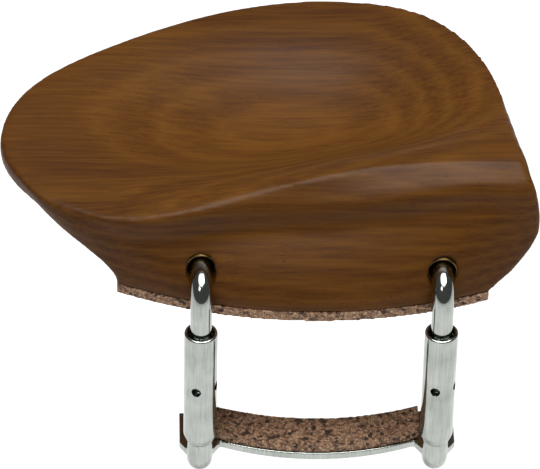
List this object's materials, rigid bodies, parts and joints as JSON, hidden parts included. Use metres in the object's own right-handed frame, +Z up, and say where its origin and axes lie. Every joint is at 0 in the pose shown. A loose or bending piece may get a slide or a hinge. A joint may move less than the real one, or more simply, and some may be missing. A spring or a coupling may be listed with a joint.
{
  "type": "violin chin rest",
  "caption": "Side-mounted violin chin rest: carved wooden plate on a cork-faced foot, clamped to the violin's edge by L hooks, screw barrels and a cork-faced bracket.",
  "frame": {"origin": "on the underside of the top cork, where it rests on the violin's top, midway between the two hooks", "axes": "+X along the violin's edge towards the plate's crested end, +Y from the violin's edge towards its middle, +Z up out of the violin's top"},
  "size_m": [0.0971, 0.0782, 0.0607],
  "materials": {
    "varnished_wood": "satin varnish over mid-brown figured hardwood",
    "cork": "bare granulated cork",
    "brass": "turned",
    "nickel_plate": "polished nickel plate"
  },
  "bodies": {
    "plate": {"chin_plate": "varnished_wood", "top_cork": "cork", "bush_left": "brass", "bush_right": "brass"},
    "hooks": {"hook_left": "nickel_plate", "hook_right": "nickel_plate"},
    "bracket": {"lower_bracket": "nickel_plate", "bottom_cork": "cork"},
    "left_barrel": {"barrel_left": "nickel_plate"},
    "right_barrel": {"barrel_right": "nickel_plate"}
  },
  "joints": [
    {"name": "clamp_withdrawal", "type": "slide", "parent": "plate", "child": "hooks", "axis": [0, -1, 0], "range_m": [0, 0.009]},
    {"name": "bracket_travel", "type": "slide", "parent": "hooks", "child": "bracket", "axis": [0, 0, -1], "range_m": [0, 0.0105]},
    {"name": "left_barrel_turn", "type": "hinge", "parent": "bracket", "child": "left_barrel", "pos_m": [-0.0215, -0.0075, -0.0152], "axis": [0, 0, -1], "range_deg": [0, 5400]},
    {"name": "right_barrel_turn", "type": "hinge", "parent": "bracket", "child": "right_barrel", "pos_m": [0.0215, -0.0075, -0.0152], "axis": [0, 0, -1], "range_deg": [0, 5400]}
  ],
  "couplings": [
    {"joint": "left_barrel_turn", "follows": "bracket_travel", "rad_per_m": 8976},
    {"joint": "right_barrel_turn", "follows": "bracket_travel", "rad_per_m": 8976}
  ]
}
